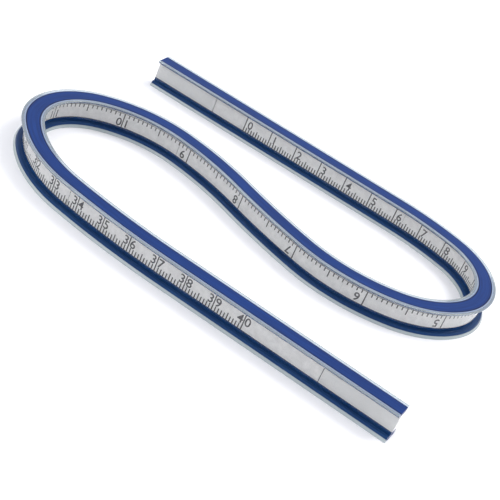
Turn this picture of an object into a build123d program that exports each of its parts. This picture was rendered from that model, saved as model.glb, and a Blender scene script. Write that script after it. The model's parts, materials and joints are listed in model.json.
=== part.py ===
from build123d import *
import os
from math import cos, radians, sin, tan

# Flexible curve ruler standing on its edge and bent into a lazy S.
# Millimetres, +Z up, the base of the ruler on z = 0.  The far run, from the zero end to the
# first bend, points along +X.  Every piece is a stretch of the same centreline, so all of
# them are made by one function from a start, an end, two side offsets and two heights.
# "left" is the side on the left hand when walking from the zero end to the other end.

# ---- centreline: tangent lines and arcs from the zero end, as (length, turn in degrees) ----
zero_end_run = 97.0
forty_end_run = 77.5
CENTRELINE = [
    (zero_end_run, 0.0),
    (23.0, -15.0),
    (41.0, -98.0),
    (24.0, -45.0),
    (33.0, -36.5),
    (29.5, -7.5),
    (27.0, 16.0),
    (28.5, 42.5),
    (37.5, 91.0),
    (31.0, 42.0),
    (38.0, 9.0),
    (forty_end_run, 0.0),
]

# ---- section across the ruler ----
flange_width = 7.2        # over the clear drawing lips
flange_thickness = 1.7
face_height = 6.4         # upright face between the two flanges
lip_width = 1.3           # clear lip on each side of a blue rail
lip_thickness = 0.3       # thin outer part of a lip
groove_wall = 0.3         # full-height part of a lip, beside the rail
rail_seat = 0.6           # clear floor that a blue rail is let down to
wall_thickness = 0.4      # clear wall over each printed tape
tape_thickness = 0.15
spring_thickness = 0.25
core_thickness = 1.4
channel_land = 1.0        # from the lower flange up to the channel in the web
channel_recess = 0.2      # how far the channel runs up into the upper flange
tongue_land = 0.2         # clear floor between the channel and the tongue of the lower rail

# ---- ends ----
plug_length = 24.0

# ---- bend joints: where they stand along the centreline ----
zero_arm_joint_inset = 27.0    # back from the end of the straight run at the zero end
right_bend_lead = 35.0         # from that straight run to the first joint of the right bend
right_bend_span = 32.0         # between the two joints of the right bend
middle_right_span = 76.0
middle_left_span = 68.0
left_bend_span = 30.0

# ---- bend joints: how far a stretch can turn, in degrees ----
joint_gap = 0.3           # between two stretches, on the centreline
joint_angle_margin = 1.0  # extra slope on each cut face
open_limit = 30.0         # each joint of a bend, towards straight
close_limit = 3.0         # each joint of a bend, tighter
arm_out_limit = 40.0
arm_in_limit = 8.0
middle_left_limit = 20.0
middle_right_limit = 10.0

# ---- worked out from the sizes above ----
overall_length = sum(length for length, _ in CENTRELINE)
overall_height = face_height + 2 * flange_thickness
rail_width = flange_width - 2 * lip_width
rail_thickness = flange_thickness - rail_seat
channel_half = core_thickness / 2 + spring_thickness + tape_thickness
web_half = channel_half + wall_thickness
channel_bottom = flange_thickness + channel_land
channel_top = overall_height - flange_thickness + channel_recess
tongue_top = channel_bottom - tongue_land

right_bend_start = zero_end_run + right_bend_lead
right_bend_end = right_bend_start + right_bend_span
middle_joint = right_bend_end + middle_right_span
left_bend_start = middle_joint + middle_left_span
left_bend_end = left_bend_start + left_bend_span

# The stretches between bend joints: name, where it ends on the centreline, and how far the
# next stretch can turn to the left and to the right of it there.
STRETCHES = [
    ("zero_arm", zero_end_run - zero_arm_joint_inset, arm_out_limit, arm_in_limit),
    ("zero_run", right_bend_start, open_limit, close_limit),
    ("right_bend", right_bend_end, open_limit, close_limit),
    ("middle_right", middle_joint, middle_left_limit, middle_right_limit),
    ("middle_left", left_bend_start, close_limit, open_limit),
    ("left_bend", left_bend_end, close_limit, open_limit),
    ("forty_run", overall_length - forty_end_run, arm_in_limit, arm_out_limit),
    ("forty_arm", overall_length, 0.0, 0.0),
]


def station(distance):
    """Point and heading (degrees) of the centreline at a distance from the zero end."""
    point = Vector(0, 0)
    heading = 0.0
    for length, turn in CENTRELINE:
        travelled = min(distance, length)
        part_turn = turn * travelled / length
        half = radians(part_turn / 2)
        chord = travelled if half == 0 else travelled * sin(half) / half
        direction = radians(heading) + half
        point += Vector(chord * cos(direction), chord * sin(direction))
        heading += part_turn
        distance -= travelled
        if distance <= 0:
            break
    return point, heading


def offset_point(distance, side):
    """Point beside the centreline, side millimetres to its left."""
    point, heading = station(distance)
    return point + Vector(-sin(radians(heading)), cos(radians(heading))) * side


def side_edges(start, end, side):
    """Lines and arcs that follow the centreline at one side offset."""
    edges = []
    distance = 0.0
    for length, turn in CENTRELINE:
        first = max(start, distance)
        last = min(end, distance + length)
        distance += length
        if last <= first:
            continue
        a = offset_point(first, side)
        b = offset_point(last, side)
        if turn == 0:
            edges.append(Line(a, b))
        else:
            edges.append(ThreePointArc(a, offset_point((first + last) / 2, side), b))
    return edges


def strip(start, end, right, left, bottom, top):
    """Solid that follows the centreline between two distances, offsets and heights."""
    edges = side_edges(start, end, right) + side_edges(start, end, left)
    edges.append(Line(offset_point(start, right), offset_point(start, left)))
    edges.append(Line(offset_point(end, right), offset_point(end, left)))
    outline = Face(Wire(edges))
    if outline.normal_at().Z < 0:
        outline = -outline
    return Pos(0, 0, bottom) * extrude(outline, top - bottom, dir=(0, 0, 1))


def joint_cut(distance, left_limit, right_limit):
    """Bow-tie prism between two stretches, open enough for the turn on each side."""
    reach = flange_width
    half_gap = joint_gap / 2
    left_open = reach * tan(radians(left_limit / 2 + joint_angle_margin))
    right_open = reach * tan(radians(right_limit / 2 + joint_angle_margin))
    outline = Polyline(
        (-half_gap, 0),
        (-half_gap - left_open, reach),
        (half_gap + left_open, reach),
        (half_gap, 0),
        (half_gap + right_open, -reach),
        (-half_gap - right_open, -reach),
        close=True,
    )
    point, heading = station(distance)
    prism = extrude(make_face(outline), overall_height, dir=(0, 0, 1))
    return Pos(point.X, point.Y, 0) * Rot(0, 0, heading) * prism


def sleeve(start, end):
    """Clear I-section with thin lips, a groove in each flange and a channel along the web."""
    half = flange_width / 2
    groove = rail_width / 2
    shoulder = groove + groove_wall
    body = strip(start, end, -shoulder, shoulder, 0, flange_thickness)
    body += strip(start, end, -shoulder, shoulder, overall_height - flange_thickness, overall_height)
    body += strip(start, end, -web_half, web_half, flange_thickness, overall_height - flange_thickness)
    body += strip(start, end, -half, half, 0, lip_thickness)
    body += strip(start, end, -half, half, overall_height - lip_thickness, overall_height)
    body -= strip(start, end, -groove, groove, 0, rail_thickness)
    body -= strip(start, end, -channel_half, channel_half, rail_thickness, tongue_top)
    body -= strip(start, end, -groove, groove, overall_height - rail_thickness, overall_height)
    body -= strip(start, end, -channel_half, channel_half, channel_bottom, channel_top)
    return body


def rail(start, end, bottom):
    """Blue rail that fills the groove of one flange."""
    return strip(start, end, -rail_width / 2, rail_width / 2, bottom, bottom + rail_thickness)


def tongue(start, end):
    """Blue rib that the lower rail sends up into the web, under the channel."""
    return strip(start, end, -channel_half, channel_half, rail_thickness, tongue_top)


def in_channel(start, end, right, left):
    """Piece that stands the full height of the channel."""
    return strip(start, end, right, left, channel_bottom, channel_top)


def stretch_pieces(name, start, end):
    """All the pieces of one stretch, before its ends are cut for the joints."""
    inner_start = max(start, plug_length)
    inner_end = min(end, overall_length - plug_length)
    core_half = core_thickness / 2
    spring_face = core_half + spring_thickness
    springs = [
        in_channel(inner_start, inner_end, core_half, spring_face),
        in_channel(inner_start, inner_end, -spring_face, -core_half),
    ]
    return {
        f"sleeve_{name}": sleeve(start, end),
        f"top_rail_{name}": rail(start, end, overall_height - rail_thickness),
        f"bottom_rail_{name}": rail(start, end, 0) + tongue(start, end),
        f"lead_core_{name}": in_channel(inner_start, inner_end, -core_half, core_half),
        f"spring_strips_{name}": Compound(springs),
        f"cm_tape_{name}": in_channel(inner_start, inner_end, -channel_half, -spring_face),
        f"inch_tape_{name}": in_channel(inner_start, inner_end, spring_face, channel_half),
    }


def all_pieces():
    """Solids of every piece by name, before they are centred."""
    pieces = {}
    start = 0.0
    cuts = [joint_cut(end, left, right) for _, end, left, right in STRETCHES[:-1]]
    for index, (name, end, _, _) in enumerate(STRETCHES):
        near_cuts = cuts[max(index - 1, 0):index + 1]
        for node, shape in stretch_pieces(name, start, end).items():
            solids = shape.solids()
            for cut in near_cuts:
                solids = [piece for solid in solids for piece in (solid - cut).solids()]
            pieces[node] = solids
        start = end
    pieces["zero_end_plug"] = in_channel(0, plug_length, -channel_half, channel_half).solids()
    forty_plug_start = overall_length - plug_length
    pieces["forty_end_plug"] = in_channel(
        forty_plug_start, overall_length, -channel_half, channel_half
    ).solids()
    return pieces


pieces = all_pieces()
box = Compound([solid for solids in pieces.values() for solid in solids]).bounding_box()
shift = Pos(-(box.min.X + box.max.X) / 2, -(box.min.Y + box.max.Y) / 2, 0)

os.makedirs("parts", exist_ok=True)
for node, solids in pieces.items():
    placed = [shift * solid for solid in solids]
    shape = placed[0] if len(placed) == 1 else Compound(placed)
    export_step(shape, f"parts/{node}.step")

print("shift", shift.position, "size", box.size)
for name, end, _, _ in STRETCHES[:-1]:
    point, heading = station(end)
    print(name, "joint", (shift * Pos(point.X, point.Y, 0)).position, "heading", heading)
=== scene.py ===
import json
from math import cos, pi, radians, sin, tan

import bmesh
import bpy
from mathutils import Matrix, Vector

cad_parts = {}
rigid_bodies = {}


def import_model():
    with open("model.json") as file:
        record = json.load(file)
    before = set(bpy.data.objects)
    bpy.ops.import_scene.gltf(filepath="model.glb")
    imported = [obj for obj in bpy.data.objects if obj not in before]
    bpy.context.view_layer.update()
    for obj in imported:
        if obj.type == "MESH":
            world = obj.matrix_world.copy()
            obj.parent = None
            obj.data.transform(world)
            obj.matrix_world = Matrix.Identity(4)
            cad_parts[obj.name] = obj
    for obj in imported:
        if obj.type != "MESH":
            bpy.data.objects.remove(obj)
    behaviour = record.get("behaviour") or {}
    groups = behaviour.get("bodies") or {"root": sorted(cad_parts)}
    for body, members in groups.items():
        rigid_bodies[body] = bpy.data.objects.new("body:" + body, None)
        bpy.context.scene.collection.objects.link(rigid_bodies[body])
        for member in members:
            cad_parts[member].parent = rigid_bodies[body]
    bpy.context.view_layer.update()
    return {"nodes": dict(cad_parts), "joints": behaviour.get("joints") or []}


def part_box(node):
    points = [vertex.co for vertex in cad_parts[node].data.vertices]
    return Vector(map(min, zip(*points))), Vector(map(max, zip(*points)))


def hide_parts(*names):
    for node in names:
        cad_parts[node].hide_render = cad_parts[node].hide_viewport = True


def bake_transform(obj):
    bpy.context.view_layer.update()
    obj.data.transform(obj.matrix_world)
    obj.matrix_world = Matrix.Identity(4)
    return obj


bl_info = {
    "name": "Flexible Curve Ruler",
    "version": (1, 0, 0),
    "blender": (4, 5, 0),
    "location": "View3D > Sidebar > Curve Ruler",
    "description": "Builds the looks of a bendable curve ruler on its packed frame",
    "category": "Object",
}

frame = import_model()

# A flexible curve ruler stands on its edge, bent into a lazy S.  Every piece is modelled straight,
# the way it leaves the extruder, along +X from the zero end: x is the distance along the ruler,
# y is the offset to its left and z is the height.  A Curve modifier then bends it along the
# centreline.  The ruler is built in one zone for each bend joint, which lies between the body
# before the joint and the body after it.

MM = 0.001

# ---- centreline: tangent lines and arcs from the zero end, as (length in mm, turn in degrees) ----
CENTRELINE = [
    (97.0, 0.0),
    (23.0, -15.0),
    (41.0, -98.0),
    (24.0, -45.0),
    (33.0, -36.5),
    (29.5, -7.5),
    (27.0, 16.0),
    (28.5, 42.5),
    (37.5, 91.0),
    (31.0, 42.0),
    (38.0, 9.0),
    (77.5, 0.0),
]
LENGTH = sum(length for length, _ in CENTRELINE) * MM

# ---- section, read from the straight stretch at the zero end ----
SLEEVE_LOW, SLEEVE_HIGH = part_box("sleeve_zero_arm")
RAIL_LOW, RAIL_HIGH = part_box("top_rail_zero_arm")
TAPE_LOW, TAPE_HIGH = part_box("cm_tape_zero_arm")
CORE_LOW, CORE_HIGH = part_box("lead_core_zero_arm")
SPRING_LOW, SPRING_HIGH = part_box("spring_strips_zero_arm")
PLUG_LOW, PLUG_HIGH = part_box("zero_end_plug")

AXIS_Y = (SLEEVE_LOW.y + SLEEVE_HIGH.y) / 2
START = Vector((SLEEVE_LOW.x, AXIS_Y, 0))
HEIGHT = SLEEVE_HIGH.z
FLANGE_HALF = (SLEEVE_HIGH.y - SLEEVE_LOW.y) / 2
RAIL_HALF = (RAIL_HIGH.y - RAIL_LOW.y) / 2
RAIL_THICKNESS = HEIGHT - RAIL_LOW.z
TONGUE_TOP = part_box("bottom_rail_zero_arm")[1].z
CHANNEL_HALF = AXIS_Y - TAPE_LOW.y
TAPE_INNER = AXIS_Y - TAPE_HIGH.y
CHANNEL_BOTTOM = TAPE_LOW.z
CHANNEL_TOP = TAPE_HIGH.z
CORE_HALF = (CORE_HIGH.y - CORE_LOW.y) / 2
SPRING_HALF = (SPRING_HIGH.y - SPRING_LOW.y) / 2
PLUG_LENGTH = PLUG_HIGH.x - PLUG_LOW.x

TINY = 1e-7

# ---- how finely things are modelled ----
SEARCH_STEP = 0.5 * MM       # step along the centreline when looking for a place on it
CURVE_RESOLUTION = 48        # points of the centreline for each of its lines and arcs
ROUNDING_SEGMENTS = 3
SMOOTH_ANGLE = radians(35)
FIGURE_RESOLUTION = 3

# ---- reach over a joint: how far it goes to each side ----
LONGEST_REACH = 25 * MM
SHARE_OF_ZONE = 0.99         # of the shorter way to a border of the zone

# ---- figures of the scales ----
CENTIMETRE = 10 * MM
INCH = 25.4 * MM
CM_BESIDE_LINE = 1.85 * MM   # from a line to the middle of the figure on its right
INCH_BESIDE_LINE = 2.4 * MM
FIGURE_LEVEL = 2.85 * MM     # from the line that the marks stand on to the middle of a figure
PAIR_LEVEL = 3.0 * MM        # the same for two figures, one on each side of a line
PAIR_BESIDE_LINE = 1.25 * MM
FIGURE_SHARE = 0.73          # height of a figure as a share of the size of its font
BOLDNESS = 0.04 * MM         # added all around the strokes of a figure

# ---- stage, in metres unless said otherwise ----
FLOOR_SIZE = 6
LIGHT_COLOUR = (1.0, 0.99, 0.98)
WORLD_COLOUR = (0.95, 0.96, 1.0, 1)
CAMERA_TARGET = START + Vector((74.11, -61.9, 1.7)) * MM
CAMERA_DISTANCE = 424.4      # millimetres
CAMERA_AZIMUTH = radians(16.0)
CAMERA_ELEVATION = radians(31.0)
CAMERA_ROLL = radians(24.2)
CAMERA_SENSOR = 36           # millimetres, as is the lens
CAMERA_LENS = 101.9
CAMERA_CLIP = 0.01

# ---- finishes ----
VINYL_IOR = 1.46
STREAK_SHARE = 0.03          # scale of the streaks along the ruler, where it is 1 across

# sockets of a colour Mix node, whose names are shared with its other data types
MIX_FACTOR, MIX_FIRST, MIX_SECOND, MIX_RESULT = 0, 6, 7, 2


# ======== settings ========

def mm_size(label, description, value):
    """Length setting: value in millimetres, kept in metres."""
    return bpy.props.FloatProperty(
        name=label, description=description, default=value * MM, precision=6, unit="LENGTH"
    )


def colour(label, description, value):
    """Colour setting in linear RGB."""
    return bpy.props.FloatVectorProperty(
        name=label, description=description, default=value, size=3, subtype="COLOR", min=0, max=1
    )


class CURVERULER_PG_sizes(bpy.types.PropertyGroup):
    """Sizes of the details that the frame leaves plain."""

    division: mm_size("Division", "Length of one crosswise division of a bent strip", 1.0)
    wall: mm_size("Wall", "Clear wall over each printed tape", 0.4)
    flange_root: mm_size("Flange root", "Height of a flange where it meets the web", 1.7)
    shoulder: mm_size("Shoulder", "Height of the upper flange just outside its rail", 1.1)
    # the milky parts of the lips take the lip colour, which is partly painted shade
    lip_root: mm_size("Lip root", "Height of an upper lip where its milky part starts", 0.5)
    foot_shoulder: mm_size(
        "Foot shoulder", "Height of the lower flange just outside its rail", 1.6
    )
    foot_root: mm_size("Foot root", "Height of a lower lip where its milky part starts", 0.85)
    lip_edge: mm_size("Lip edge", "Height of a flange at its outer edge", 0.3)
    lip_part: mm_size(
        "Lip part", "Width of the milky part of an upper lip, seen from below", 0.35
    )
    foot_part: mm_size("Foot part", "Width of the milky part of a lower lip", 0.5)
    # width of the strip beside a rail that carries a painted highlight
    bond: mm_size("Bond", "Width of the pale seam beside a rail", 0.4)
    # width of the painted shade along each edge of a rail
    rail_edge: mm_size("Rail edge", "Width of the dark edge of a rail", 0.4)
    rounding: mm_size("Rounding", "Rounding of the clear edges", 0.12)
    rail_rounding: mm_size("Rail rounding", "Rounding of the blue rails", 0.1)
    clearance: mm_size("Clearance", "Air between pieces that lie on each other", 0.025)
    plug_seam: mm_size("Plug seam", "Gap between an end plug and what lies behind it", 0.25)
    print_thickness: mm_size("Print thickness", "Height of the print over the tape", 0.02)
    cm_zero: mm_size("Centimetre zero", "Distance of the centimetre zero from the end", 37.0)
    inch_zero: mm_size("Inch zero", "Distance of the inch zero from the end", 41.5)
    line_width: mm_size("Line width", "Width of a numbered line", 0.36)
    tick_width: mm_size("Tick width", "Width of a short mark", 0.34)
    mm_tick: mm_size("Millimetre mark", "Height of a millimetre mark", 1.65)
    half_tick: mm_size("Half mark", "Height of a half centimetre or half inch mark", 2.3)
    inch_tick: mm_size("Sixteenth mark", "Height of a sixteenth inch mark", 1.1)
    inch_base: mm_size(
        "Inch base", "Distance of the inch base line from the top of its tape", 0.8
    )
    base_line: mm_size("Base line", "Width of the inch base line", 0.16)
    digit_height: mm_size("Digit height", "Height of the numbers", 2.9)


class CURVERULER_PG_colours(bpy.types.PropertyGroup):
    """Colours of the finishes."""

    clear: colour("Clear sleeve", "Tint of the clear web", (0.98, 0.99, 0.99))
    # the lip colour is partly the vinyl's own grey-green tint and partly painted shade of the floor
    # seen through the lips
    lip: colour("Clear lip", "Grey-green tint of the lips", (0.52, 0.59, 0.61))
    # painted highlight: the pale strip beside each rail stands in for the bright line along the
    # edge of its groove
    seam: colour("Seam", "Pale seam where a rail is bonded in", (0.34, 0.42, 0.58))
    blue: colour("Blue rail", "Colour of the rails", (0.006, 0.037, 0.185))
    # dark blue of the streaks, and painted shade along the edges of the rails
    blue_dark: colour("Blue rail, dark", "Edges and streaks of the rails", (0.002, 0.010, 0.055))
    blue_bond: colour("Bonded blue", "Blue seen through the clear plastic", (0.016, 0.09, 0.28))
    blue_foot: colour("Foot blue", "Blue shoulders of the lower flange", (0.014, 0.052, 0.15))
    tape: colour("Tape", "Satin silver of the printed tapes", (0.95, 0.94, 0.925))
    ink: colour("Ink", "Print of the scales", (0.012, 0.012, 0.016))
    worn_ink: colour("Worn ink", "Print where it is rubbed thin", (0.07, 0.07, 0.08))
    plug: colour("End plug", "Off-white of the end plugs", (0.86, 0.86, 0.85))
    lead: colour("Lead", "Dull grey of the core", (0.18, 0.18, 0.19))
    steel: colour("Spring steel", "Strips beside the core", (0.42, 0.43, 0.45))
    floor: colour("Floor", "Floor of the stage", (0.92, 0.92, 0.94))


def sizes():
    """The size settings of the scene."""
    return bpy.context.scene.curve_ruler_sizes


def colours():
    """The colour settings of the scene."""
    return bpy.context.scene.curve_ruler_colours


# ======== materials ========

class Value:
    """Output of a shader node that can stand in a sum, such as 0.3 + mask * 0.5."""

    def __init__(self, finish, socket):
        self.finish = finish
        self.socket = socket

    def math(self, operation, first, second):
        return self.finish.node("ShaderNodeMath", {"operation": operation}, {0: first, 1: second})

    def __add__(self, other):
        return self.math("ADD", self, other)

    __radd__ = __add__

    def __mul__(self, other):
        return self.math("MULTIPLY", self, other)


class Finish:
    """Procedural material built from nodes."""

    def __init__(self, name):
        self.material = bpy.data.materials.new(name)
        self.material.use_nodes = True
        self.tree = self.material.node_tree
        self.tree.nodes.clear()

    def node(self, kind, settings=None, inputs=None, output=0):
        """Add a node with its settings (stops are those of a ramp) and its values or links."""
        made = self.tree.nodes.new(kind)
        for key, value in (settings or {}).items():
            if key == "stops":
                for stop, (position, shade) in zip(made.color_ramp.elements, value):
                    stop.position = position
                    stop.color = shade
            else:
                setattr(made, key, value)
        for key, value in (inputs or {}).items():
            if isinstance(value, Value):
                self.tree.links.new(value.socket, made.inputs[key])
            else:
                made.inputs[key].default_value = value
        return Value(self, made.outputs[output]) if made.outputs else made

    def noise_at(self, place, scale, detail):
        """Noise from 0 to 1 over the given places."""
        return self.node(
            "ShaderNodeTexNoise", inputs={"Vector": place, "Scale": scale, "Detail": detail}
        )

    def noise(self, scale, detail):
        """Noise from 0 to 1 over the object's own coordinates."""
        return self.noise_at(self.node("ShaderNodeTexCoord", output="Object"), scale, detail)

    def streaks(self, scale, detail):
        """Noise drawn out along the ruler, over the places that a piece had when straight."""
        place = self.node("ShaderNodeAttribute", {"attribute_name": "straight"}, output="Vector")
        stretch = (STREAK_SHARE, 1, 1)
        place = self.node("ShaderNodeMapping", inputs={"Vector": place, "Scale": stretch})
        return self.noise_at(place, scale, detail)

    def ramp(self, value, low, high):
        """Value spread from 0 at low to 1 at high."""
        stops = [(low, (0, 0, 0, 1)), (high, (1, 1, 1, 1))]
        return self.node("ShaderNodeValToRGB", {"stops": stops}, {"Fac": value})

    def mix(self, factor, first, second):
        """Colour between two colours."""
        inputs = {MIX_FACTOR: factor, MIX_FIRST: (*first, 1), MIX_SECOND: (*second, 1)}
        return self.node("ShaderNodeMix", {"data_type": "RGBA"}, inputs, MIX_RESULT)

    def bump(self, height, strength, distance):
        """Normal that follows a height."""
        return self.node(
            "ShaderNodeBump", inputs={"Height": height, "Strength": strength, "Distance": distance}
        )

    def surface(self, **inputs):
        """Principled surface; names use _ for spaces."""
        named = {key.replace("_", " "): value for key, value in inputs.items()}
        shader = self.node("ShaderNodeBsdfPrincipled", inputs=named)
        self.node("ShaderNodeOutputMaterial", inputs={"Surface": shader})
        return self.material


def shaded(shade, factor):
    """Colour made darker, or lighter where the factor is over 1."""
    return tuple(min(part * factor, 1) for part in shade)


def clear_plastic(name, tint, clarity):
    """Flexible vinyl, from milky to clear, with a faint haze."""
    finish = Finish(name)
    haze = finish.noise(scale=420, detail=3)
    return finish.surface(
        Base_Color=finish.mix(haze, tint, shaded(tint, 1.04)),
        Roughness=0.05 + haze * 0.06,
        IOR=VINYL_IOR,
        Transmission_Weight=clarity,
    )


def seam_plastic(name):
    """Milky strip beside a blue rail that carries a painted highlight along the edge of its groove.
    """
    finish = Finish(name)
    cloud = finish.streaks(scale=3000, detail=3)
    return finish.surface(
        Base_Color=finish.mix(cloud, colours().seam, shaded(colours().seam, 0.8)),
        Roughness=0.2 + cloud * 0.1,
        IOR=VINYL_IOR,
        Transmission_Weight=0.35,
    )


def blue_plastic(name, light, dark):
    """Blue vinyl with faint long streaks and a soft gloss."""
    finish = Finish(name)
    streaks = finish.ramp(finish.streaks(scale=2500, detail=3), low=0.35, high=0.7)
    grain = finish.noise(scale=2600, detail=2)
    clouds = finish.noise(scale=90, detail=2)
    return finish.surface(
        Base_Color=finish.mix(streaks * 0.4 + clouds * 0.3, light, dark),
        Roughness=0.3 + grain * 0.12,
        Specular_IOR_Level=0.1,
        Normal=finish.bump(grain, strength=0.12, distance=0.04 * MM),
    )


def silver_tape(name):
    """Satin silver film, slightly mottled."""
    finish = Finish(name)
    mottle = finish.ramp(finish.noise(scale=700, detail=4), low=0.35, high=0.65)
    return finish.surface(
        Base_Color=finish.mix(mottle, colours().tape, shaded(colours().tape, 0.9)),
        Roughness=0.42 + mottle * 0.12,
        Normal=finish.bump(mottle, strength=0.08, distance=0.03 * MM),
    )


def print_ink(name):
    """Dark print with worn, uneven density."""
    finish = Finish(name)
    grain = finish.noise(scale=3800, detail=3)
    worn = finish.ramp(grain, low=0.45, high=0.8)
    return finish.surface(
        Base_Color=finish.mix(worn, colours().ink, colours().worn_ink),
        Roughness=0.55 + grain * 0.2,
    )


def plug_plastic(name):
    """Off-white moulded plastic."""
    finish = Finish(name)
    cloud = finish.noise(scale=900, detail=3)
    return finish.surface(
        Base_Color=finish.mix(cloud, colours().plug, shaded(colours().plug, 0.92)),
        Roughness=0.4 + cloud * 0.15,
        Normal=finish.bump(cloud, strength=0.1, distance=0.05 * MM),
    )


def dull_metal(name, shade, roughness):
    """Bare metal with soft blotches."""
    finish = Finish(name)
    blotch = finish.noise(scale=1500, detail=5)
    return finish.surface(
        Base_Color=finish.mix(blotch, shade, shaded(shade, 0.7)),
        Metallic=1.0,
        Roughness=roughness + blotch * 0.15,
    )


def floor_paper(name):
    """Plain pale paper."""
    finish = Finish(name)
    cloud = finish.noise(scale=6, detail=2)
    return finish.surface(
        Base_Color=finish.mix(cloud, colours().floor, shaded(colours().floor, 0.995)),
        Roughness=0.9,
    )


def coated(name, maker, **settings):
    """Material of that name, made once."""
    return bpy.data.materials.get(name) or maker(name, **settings)


# ======== centreline ========

def direction(heading):
    """Level unit vector at a heading in radians."""
    return Vector((cos(heading), sin(heading), 0))


def station(distance):
    """Point and heading, in radians, of the centreline at a distance from the zero end."""
    point = START.copy()
    heading = 0.0
    for length, turn in CENTRELINE:
        length *= MM
        travelled = min(distance, length)
        half = radians(turn) * travelled / length / 2
        chord = travelled if half == 0 else travelled * sin(half) / half
        point += chord * direction(heading + half)
        heading += 2 * half
        distance -= travelled
        if distance <= 0:
            break
    return point, heading


def left_of(distance):
    """Direction to the left of the centreline."""
    return direction(station(distance)[1] + pi / 2)


def distance_of(point):
    """Distance along the centreline of the place nearest to a point."""
    count = round(LENGTH / SEARCH_STEP)
    steps = [LENGTH * index / count for index in range(count + 1)]
    return min(steps, key=lambda step: (station(step)[0] - point).xy.length)


class Zone:
    """Length of the ruler around one bend joint, and the two bodies on either side of that joint.
    """

    def __init__(self, number, joint, start, end):
        self.name = f"z{number}"
        self.hinge = distance_of(Vector(joint["pos_m"]))
        self.start = start
        self.end = end
        self.joint = joint
        self.before = None
        self.after = None

    def between_plugs(self):
        """Start and end of the part of the zone that lies between the end plugs."""
        plug = PLUG_LENGTH + sizes().plug_seam
        return max(self.start, plug), min(self.end, LENGTH - plug)

    def bend(self, piece, slot_name, *nodes):
        """Bend a straight piece along the centreline and hide the CAD nodes it stands for; the
        reach over the joint is worked out but not used.
        """
        bend_along_centreline(piece)
        point, heading = station(self.hinge)
        tangent = direction(heading)
        reach = min(
            abs((station(edge)[0] + side * left_of(edge) - point).dot(tangent))
            for edge in (self.start, self.end)
            for side in (-FLANGE_HALF, FLANGE_HALF)
            if 0 < edge < LENGTH
        )
        reach = min(reach * SHARE_OF_ZONE, LONGEST_REACH)
        point - reach * tangent
        point + reach * tangent
        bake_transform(piece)
        if nodes:
            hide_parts(*nodes)


def make_zones():
    """One zone for each joint, from half way to the joint before to half way to the joint after."""
    joints = sorted(frame["joints"], key=lambda joint: distance_of(Vector(joint["pos_m"])))
    hinges = [distance_of(Vector(joint["pos_m"])) for joint in joints]
    # the borders fall half way between two millimetre marks
    borders = [0.0]
    for first, second in zip(hinges, hinges[1:]):
        borders.append((int((first + second) / 2 / MM) + 0.5) * MM)
    borders.append(LENGTH)
    zones = [Zone(n + 1, joint, *borders[n:n + 2]) for n, joint in enumerate(joints)]
    for index, zone in enumerate(zones):
        pair = {zone.joint["parent"], zone.joint["child"]}
        other = zones[index + 1 if index + 1 < len(zones) else index - 1]
        shared = pair & {other.joint["parent"], other.joint["child"]}
        zone.after = shared.pop() if index + 1 < len(zones) else (pair - shared).pop()
        zone.before = (pair - {zone.after}).pop()
    return zones


ZONES = make_zones()


def nodes_of(zone, kind):
    """CAD nodes of one kind that a zone stands for; the last zone stands for two stretches."""
    names = [f"{kind}_{zone.before}"]
    if zone is ZONES[-1]:
        names.append(f"{kind}_{zone.after}")
    return names


def bend_along_centreline(piece):
    """Bend a straight piece with a Curve modifier; an attribute keeps its straight places."""
    places = [number for vertex in piece.data.vertices for number in vertex.co]
    straight = piece.data.attributes.new("straight", "FLOAT_VECTOR", "POINT")
    straight.data.foreach_set("vector", places)
    modifier = piece.modifiers.new("Bend", "CURVE")
    modifier.object = bpy.data.objects["centreline"]
    modifier.deform_axis = "POS_X"
    bpy.context.view_layer.objects.active = piece
    bpy.ops.object.modifier_apply(modifier=modifier.name)
    deselect()
    piece.select_set(True)
    piece.location = START
    bpy.ops.object.transform_apply(location=True, rotation=False, scale=False)


# ======== modelling ========

def deselect():
    """Select nothing."""
    bpy.ops.object.select_all(action="DESELECT")


def finished(name, *materials):
    """Name the active object and give it its materials."""
    piece = bpy.context.active_object
    piece.name = name
    piece.data.name = name
    piece.data.materials.clear()
    for material in materials:
        piece.data.materials.append(material)
    return piece


def pick(piece, kind, wanted):
    """In edit mode, select only the edges or faces that are wanted."""
    bpy.ops.mesh.select_mode(type=kind)
    bpy.ops.mesh.select_all(action="DESELECT")
    mesh = bmesh.from_edit_mesh(piece.data)
    for part in list(mesh.edges if kind == "EDGE" else mesh.faces):
        if wanted(part):
            part.select_set(True)
    bmesh.update_edit_mesh(piece.data)


def is_lengthwise(edge):
    """Whether an edge of a straight piece runs along the ruler."""
    return abs(edge.verts[0].co.x - edge.verts[1].co.x) > TINY


def ring(outline, distance):
    """Closed ring of points (across, up) at one distance along the straight ruler."""
    deselect()
    bpy.ops.mesh.primitive_circle_add(vertices=len(outline), radius=MM)
    made = bpy.context.active_object
    for vertex, (across, up) in zip(made.data.vertices, outline):
        vertex.co = (distance, across, up)
    return made


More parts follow.
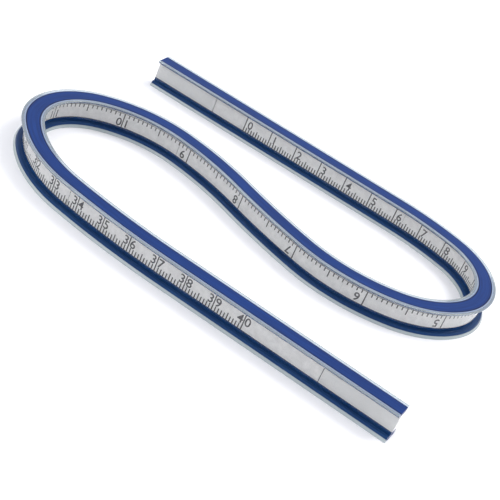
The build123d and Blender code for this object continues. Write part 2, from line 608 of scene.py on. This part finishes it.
def strip(name, outlines, start, end, materials, rounding=0.0, rounded=None, painted=()):
    """Straight closed strip between two distances; a second outline is a channel along it.

    The test rounded picks the lengthwise edges that get a rounding, from (across, up).  Each
    test in painted picks the lengthwise faces of the next material in the same way.
    """
    rings = [ring(outline, start) for outline in outlines]
    for one in rings:
        one.select_set(True)
    if len(rings) > 1:
        bpy.ops.object.join()
    piece = finished(name, *materials)
    bpy.ops.object.mode_set(mode="EDIT")
    bpy.ops.mesh.select_all(action="SELECT")
    bpy.ops.mesh.extrude_region_move(TRANSFORM_OT_translate={"value": (end - start, 0, 0)})
    if rounding:
        pick(piece, "EDGE", lambda edge: is_lengthwise(edge) and rounded(*edge.verts[0].co.yz))
        bpy.ops.mesh.bevel(
            offset=rounding, segments=ROUNDING_SEGMENTS, affect="EDGES", clamp_overlap=True
        )
    for index, test in enumerate(painted):
        pick(piece, "FACE", lambda face: test(*face.calc_center_median().yz))
        piece.active_material_index = index + 1
        bpy.ops.object.material_slot_assign()
    for distance in (start, end):
        pick(piece, "EDGE", lambda edge: all(abs(v.co.x - distance) < TINY for v in edge.verts))
        bpy.ops.mesh.fill(use_beauty=False)
        bpy.ops.mesh.mark_sharp()
    cuts = round((end - start) / sizes().division) - 1
    pick(piece, "EDGE", is_lengthwise)
    bpy.ops.mesh.subdivide(number_cuts=cuts)
    bpy.ops.mesh.select_all(action="SELECT")
    bpy.ops.mesh.normals_make_consistent(inside=False)
    bpy.ops.object.mode_set(mode="OBJECT")
    deselect()
    piece.select_set(True)
    bpy.ops.object.shade_smooth_by_angle(angle=SMOOTH_ANGLE)
    return piece


def rectangle(right, left, bottom, top):
    """Outline between two offsets and two heights."""
    return [(right, bottom), (left, bottom), (left, top), (right, top)]


def sleeve_outline():
    """I-section: flanges whose lips thin out to their edges, and a groove for each rail."""
    gap = sizes().clearance
    groove = RAIL_HALF + gap

    def half_flange(shoulder, lip_root, lip_part):
        """One side of a flange, from the web out to the lip and back into the groove."""
        return [
            (CHANNEL_HALF + sizes().wall, sizes().flange_root),
            (groove + sizes().bond, shoulder),
            (FLANGE_HALF - lip_part, lip_root),
            (FLANGE_HALF, sizes().lip_edge),
            (FLANGE_HALF, 0),
            (groove + sizes().bond, 0),
            (groove, 0),
            (groove, RAIL_THICKNESS + gap),
        ]

    tongue = [(CHANNEL_HALF + gap, RAIL_THICKNESS + gap), (CHANNEL_HALF + gap, TONGUE_TOP + gap)]
    lower = half_flange(sizes().foot_shoulder, sizes().foot_root, sizes().foot_part)
    upper = half_flange(sizes().shoulder, sizes().lip_root, sizes().lip_part)
    upper = [(across, HEIGHT - up) for across, up in upper]
    right_half = list(reversed(tongue)) + list(reversed(lower)) + upper
    left_half = [(-across, up) for across, up in reversed(right_half)]
    return right_half + left_half


def blocks(name, places_and_sizes, material):
    """Small blocks as one mesh, each given as (x, across, up) of its middle and its three sizes."""
    deselect()
    made = []
    for place, size in places_and_sizes:
        bpy.ops.mesh.primitive_cube_add(size=1, location=place, scale=size)
        made.append(bpy.context.active_object)
    for one in made:
        one.select_set(True)
    bpy.ops.object.join()
    bpy.ops.object.transform_apply(location=True, rotation=True, scale=True)
    return finished(name, material)


# ======== operators ========

class CURVERULER_OT_centreline(bpy.types.Operator):
    """Draw the centreline as a Bezier curve, for the other pieces to bend along"""

    bl_idname = "curve_ruler.centreline"
    bl_label = "Centreline"

    def execute(self, context):
        deselect()
        bpy.ops.curve.primitive_bezier_curve_add()
        curve = context.active_object
        curve.name = "centreline"
        curve.data.resolution_u = CURVE_RESOLUTION
        curve.data.twist_mode = "Z_UP"
        spline = curve.data.splines[0]
        spline.bezier_points.add(len(CENTRELINE) + 1 - len(spline.bezier_points))
        distance = 0.0
        handles = [0.0]
        for length, turn in CENTRELINE:
            if turn == 0:
                reach = length * MM / 3
            else:
                reach = 4 / 3 * tan(radians(turn) / 4) * length * MM / radians(turn)
            handles += [reach, reach]
        handles.append(0.0)
        for index, point in enumerate(spline.bezier_points):
            place, heading = station(distance)
            point.handle_left_type = "FREE"
            point.handle_right_type = "FREE"
            point.co = place - START
            point.handle_left = point.co - direction(heading) * handles[2 * index]
            point.handle_right = point.co + direction(heading) * handles[2 * index + 1]
            if index < len(CENTRELINE):
                distance += CENTRELINE[index][0] * MM
        return {"FINISHED"}


class CURVERULER_OT_sleeve(bpy.types.Operator):
    """Model the clear sleeve: an I-section with a channel along its web"""

    bl_idname = "curve_ruler.sleeve"
    bl_label = "Clear sleeve"

    def execute(self, context):
        gap = sizes().clearance
        groove = RAIL_HALF + gap
        web = CHANNEL_HALF + sizes().wall
        channel = rectangle(
            -CHANNEL_HALF - gap, CHANNEL_HALF + gap, CHANNEL_BOTTOM - gap, CHANNEL_TOP + gap
        )
        tints = colours()
        materials = [
            coated("clear_vinyl", clear_plastic, tint=tints.clear, clarity=1.0),
            # upper lips: vinyl tint with painted shade of the floor seen through them
            coated("lip_vinyl", clear_plastic, tint=tints.lip, clarity=0.7),
            # painted highlight on the strip beside each rail
            coated("milky_seam", seam_plastic),
            coated("foot_blue", blue_plastic, light=tints.blue_foot, dark=tints.blue_dark),
            coated("bonded_blue", blue_plastic, light=tints.blue_bond, dark=tints.blue),
            # lower lips: less clear, their grey partly their own tint and partly painted shadow of
            # the floor under them
            coated("foot_vinyl", clear_plastic, tint=tints.lip, clarity=0.35),
        ]

        def depth(up):
            """Depth of a point below the nearer of the two outer faces."""
            return min(up, HEIGHT - up)

        def is_rounded(across, up):
            on_edge = abs(across) > FLANGE_HALF - TINY
            return abs(across) > groove + TINY and (on_edge or depth(up) > TINY)

        def is_lip(across, up):
            on_outer_face = abs(across) > groove + sizes().bond and depth(up) < TINY
            return on_outer_face or abs(across) > FLANGE_HALF - sizes().lip_part

        # the strip beside a rail that carries the painted highlight
        def is_seam(across, up):
            return groove < abs(across) < groove + sizes().bond and depth(up) < TINY

        def is_foot(across, up):
            between = web + TINY < abs(across) < FLANGE_HALF - sizes().foot_part
            return between and TINY < up < HEIGHT / 2

        def is_bonded(across, up):
            in_groove = abs(across) < groove + TINY and depth(up) < RAIL_THICKNESS + 2 * gap
            by_tongue = abs(across) < CHANNEL_HALF + 2 * gap and up < TONGUE_TOP + 2 * gap
            return in_groove or by_tongue

        def is_foot_lip(across, up):
            return abs(across) > FLANGE_HALF - sizes().foot_part and up < HEIGHT / 2

        for zone in ZONES:
            piece = strip(
                f"clear_sleeve_{zone.name}",
                [sleeve_outline(), channel],
                zone.start,
                zone.end,
                materials,
                sizes().rounding,
                is_rounded,
                [is_lip, is_seam, is_foot, is_bonded, is_foot_lip],
            )
            zone.bend(piece, "clear_sleeve", *nodes_of(zone, "sleeve"))
        return {"FINISHED"}


class CURVERULER_OT_rails(bpy.types.Operator):
    """Model the two blue rails in the grooves of the flanges"""

    bl_idname = "curve_ruler.rails"
    bl_label = "Blue rails"

    def execute(self, context):
        inner = RAIL_HALF - sizes().rail_edge
        outer_face = [(-RAIL_HALF, 0), (-inner, 0), (inner, 0), (RAIL_HALF, 0)]
        tongue = [
            (CHANNEL_HALF, RAIL_THICKNESS),
            (CHANNEL_HALF, TONGUE_TOP),
            (-CHANNEL_HALF, TONGUE_TOP),
            (-CHANNEL_HALF, RAIL_THICKNESS),
        ]
        back = [(RAIL_HALF, RAIL_THICKNESS), (-RAIL_HALF, RAIL_THICKNESS)]
        outlines = {
            "bottom_rail": [*outer_face, back[0], *tongue, back[1]],
            "top_rail": [(across, HEIGHT - up) for across, up in (*outer_face, *back)],
        }
        dark = colours().blue_dark
        materials = [
            coated("blue_vinyl", blue_plastic, light=colours().blue, dark=dark),
            # painted shade on the sides of a rail and along the edges of its face
            coated("blue_edge", blue_plastic, light=dark, dark=dark),
        ]
        for zone in ZONES:
            for kind, outline in outlines.items():
                piece = strip(
                    f"{kind}_{zone.name}",
                    [outline],
                    zone.start,
                    zone.end,
                    materials,
                    sizes().rail_rounding,
                    lambda across, up: abs(across) > RAIL_HALF - TINY,
                    [lambda across, up: abs(across) > inner],
                )
                zone.bend(piece, "blue_rail", *nodes_of(zone, kind))
        return {"FINISHED"}


class CURVERULER_OT_inside(bpy.types.Operator):
    """Model what lies in the channel: lead core, spring strips and the two tapes"""

    bl_idname = "curve_ruler.inside"
    bl_label = "Core, strips and tapes"

    def execute(self, context):
        lead = coated("dull_lead", dull_metal, shade=colours().lead, roughness=0.6)
        steel = coated("spring_steel", dull_metal, shade=colours().steel, roughness=0.3)
        film = coated("silver_film", silver_tape)
        gap = sizes().clearance
        spring_low, spring_high = CORE_HALF + gap, SPRING_HALF - gap
        tape_face = CHANNEL_HALF - gap - sizes().print_thickness
        layers = [
            ("lead_core", -CORE_HALF, CORE_HALF, lead, "lead"),
            ("spring_strips", spring_low, spring_high, steel, "spring_steel"),
            ("spring_strips", -spring_high, -spring_low, steel, "spring_steel"),
            ("inch_tape", TAPE_INNER, tape_face, film, "printed_tape"),
            ("cm_tape", -tape_face, -TAPE_INNER, film, "printed_tape"),
        ]
        for zone in ZONES:
            start, end = zone.between_plugs()
            for kind, right, left, material, slot_name in layers:
                side = ""
                if kind == "spring_strips":
                    side = "_inch" if left > 0 else "_cm"
                piece = strip(
                    f"{kind}{side}_{zone.name}",
                    [rectangle(right, left, CHANNEL_BOTTOM, CHANNEL_TOP)],
                    start,
                    end,
                    [material],
                )
                zone.bend(piece, slot_name, *nodes_of(zone, kind))
        return {"FINISHED"}


class Scale:
    """One printed scale: the side it faces, where its zero is and how it is divided."""

    def __init__(self, name, side, zero, unit, parts, small_tick, last):
        self.name = name
        self.side = side
        self.zero = zero
        self.unit = unit
        self.parts = parts
        self.small_tick = small_tick
        self.last = last
        self.across = side * (CHANNEL_HALF - sizes().clearance - sizes().print_thickness / 2)

    def up(self, height):
        """Level of a point that is this high from the line that the marks stand on."""
        if self.side < 0:
            return CHANNEL_BOTTOM + height
        return CHANNEL_TOP - sizes().inch_base - height

    def marks(self):
        """All marks as blocks: middle and sizes."""
        for index in range(self.last * self.parts + 1):
            width, height = sizes().tick_width, self.small_tick
            if index % self.parts == 0:
                width = sizes().line_width
                height = CHANNEL_TOP - CHANNEL_BOTTOM - (sizes().inch_base if self.side > 0 else 0)
            elif index % self.parts == self.parts // 2:
                height = sizes().half_tick
            place = (self.zero + index * self.unit / self.parts, self.across, self.up(height / 2))
            yield place, (width, sizes().print_thickness, height)

    def figures(self):
        """All digits: the digit, its distance along the ruler and the level of its middle."""
        beside = CM_BESIDE_LINE if self.side < 0 else INCH_BESIDE_LINE
        for number in range(self.last + 1):
            distance = self.zero + number * self.unit
            digits = str(number)
            if len(digits) == 1:
                yield digits, distance + beside, self.up(FIGURE_LEVEL)
            else:
                yield digits[0], distance - PAIR_BESIDE_LINE, self.up(PAIR_LEVEL)
                yield digits[1], distance + PAIR_BESIDE_LINE, self.up(PAIR_LEVEL)


def digit(text, place, side):
    """One raised figure on the face of a tape."""
    bpy.ops.object.text_add()
    made = bpy.context.active_object
    made.data.body = text
    made.data.size = sizes().digit_height / FIGURE_SHARE
    made.data.align_x = "CENTER"
    made.data.align_y = "CENTER"
    made.data.extrude = sizes().print_thickness / 2
    made.data.offset = BOLDNESS
    made.data.resolution_u = FIGURE_RESOLUTION
    bpy.ops.object.convert(target="MESH")
    made = bpy.context.active_object
    made.data.transform(Matrix.Translation(place) @ Matrix.Rotation(-side * pi / 2, 4, "X"))
    return made


class CURVERULER_OT_scales(bpy.types.Operator):
    """Print the centimetre scale on one tape and the inch scale on the other"""

    bl_idname = "curve_ruler.scales"
    bl_label = "Printed scales"

    def execute(self, context):
        ink = coated("print_ink", print_ink)
        scales = [
            Scale(
                "cm",
                side=-1,
                zero=sizes().cm_zero,
                unit=CENTIMETRE,
                parts=10,
                small_tick=sizes().mm_tick,
                last=40,
            ),
            Scale(
                "inch",
                side=1,
                zero=sizes().inch_zero,
                unit=INCH,
                parts=16,
                small_tick=sizes().inch_tick,
                last=15,
            ),
        ]
        for scale in scales:
            for zone in ZONES:
                marks = [m for m in scale.marks() if zone.start < m[0][0] < zone.end]
                piece = blocks(f"{scale.name}_print_{zone.name}", marks, ink)
                figures = [
                    digit(text, (distance, scale.across, level), scale.side)
                    for text, distance, level in scale.figures()
                    if zone.start < distance < zone.end
                ]
                deselect()
                for one in (*figures, piece):
                    one.select_set(True)
                context.view_layer.objects.active = piece
                bpy.ops.object.join()
                piece = finished(piece.name, ink)
                zone.bend(piece, "printed_tape")
        base = scales[1].up(0)
        face = scales[1].across
        film = sizes().print_thickness / 2
        for zone in ZONES:
            outline = rectangle(face - film, face + film, base, base + sizes().base_line)
            piece = strip(f"inch_base_line_{zone.name}", [outline], *zone.between_plugs(), [ink])
            zone.bend(piece, "printed_tape")
        return {"FINISHED"}


class CURVERULER_OT_plugs(bpy.types.Operator):
    """Give the two end plugs their moulded plastic"""

    bl_idname = "curve_ruler.plugs"
    bl_label = "End plugs"

    def execute(self, context):
        for node in ("zero_end_plug", "forty_end_plug"):
            slots = frame["nodes"][node].data.materials
            slots.clear()
            slots.append(coated("plug_plastic", plug_plastic))
        return {"FINISHED"}


class CURVERULER_OT_stage(bpy.types.Operator):
    """Set up the pale floor, the soft light and the camera"""

    bl_idname = "curve_ruler.stage"
    bl_label = "Stage"

    def execute(self, context):
        deselect()
        bpy.ops.mesh.primitive_plane_add(size=FLOOR_SIZE)
        floor = finished("floor", coated("pale_paper", floor_paper))

        area_light("key", place=(0.35, 0.42, 0.75), size=0.5, power=5.2)
        area_light("fill", place=(-0.6, -0.5, 0.8), size=0.9, power=3.9)

        world = bpy.data.worlds.new("studio")
        context.scene.world = world
        world.use_nodes = True
        background = world.node_tree.nodes["Background"]
        background.inputs["Color"].default_value = WORLD_COLOUR
        background.inputs["Strength"].default_value = 1.0
        context.scene.view_settings.view_transform = "Standard"

        bpy.ops.object.camera_add()
        camera = context.active_object
        level = cos(CAMERA_ELEVATION)
        back = Vector(
            (sin(CAMERA_AZIMUTH) * level, -cos(CAMERA_AZIMUTH) * level, sin(CAMERA_ELEVATION))
        )
        camera.location = CAMERA_TARGET + back * CAMERA_DISTANCE * MM
        view = (-back).to_track_quat("-Z", "Y").to_matrix()
        camera.rotation_euler = (view @ Matrix.Rotation(CAMERA_ROLL, 3, "Z")).to_euler()
        camera.data.sensor_width = CAMERA_SENSOR
        camera.data.lens = CAMERA_LENS
        camera.data.clip_start = CAMERA_CLIP
        context.scene.camera = camera
        return {"FINISHED"}


def area_light(name, place, size, power):
    """Square area light aimed at the middle of the ruler, in metres and watts."""
    bpy.ops.object.light_add(type="AREA", location=place)
    light = bpy.context.active_object
    light.name = name
    light.data.shape = "SQUARE"
    light.data.size = size
    light.data.energy = power
    light.data.color = LIGHT_COLOUR
    light.rotation_euler = Vector(place).to_track_quat("Z", "Y").to_euler()


class CURVERULER_PT_panel(bpy.types.Panel):
    """Lists the steps that build the ruler, and its settings"""

    bl_idname = "CURVERULER_PT_panel"
    bl_label = "Curve Ruler"
    bl_space_type = "VIEW_3D"
    bl_region_type = "UI"
    bl_category = "Curve Ruler"

    def draw(self, context):
        for step in STEPS:
            self.layout.operator(step.bl_idname)
        for group in (sizes(), colours()):
            for name in group.bl_rna.properties.keys():
                if name not in ("name", "rna_type"):
                    self.layout.prop(group, name)


STEPS = (
    CURVERULER_OT_centreline,
    CURVERULER_OT_sleeve,
    CURVERULER_OT_rails,
    CURVERULER_OT_inside,
    CURVERULER_OT_scales,
    CURVERULER_OT_plugs,
    CURVERULER_OT_stage,
)
CLASSES = (CURVERULER_PG_sizes, CURVERULER_PG_colours, *STEPS, CURVERULER_PT_panel)


def register():
    for one in CLASSES:
        bpy.utils.register_class(one)
    bpy.types.Scene.curve_ruler_sizes = bpy.props.PointerProperty(type=CURVERULER_PG_sizes)
    bpy.types.Scene.curve_ruler_colours = bpy.props.PointerProperty(type=CURVERULER_PG_colours)


def unregister():
    del bpy.types.Scene.curve_ruler_colours
    del bpy.types.Scene.curve_ruler_sizes
    for one in reversed(CLASSES):
        bpy.utils.unregister_class(one)


def main():
    """Build every piece in order and remove the centreline."""
    register()
    for step in STEPS:
        group, name = step.bl_idname.split(".")
        getattr(getattr(bpy.ops, group), name)()
    bpy.data.objects.remove(bpy.data.objects["centreline"])


if __name__ == "__main__":
    main()
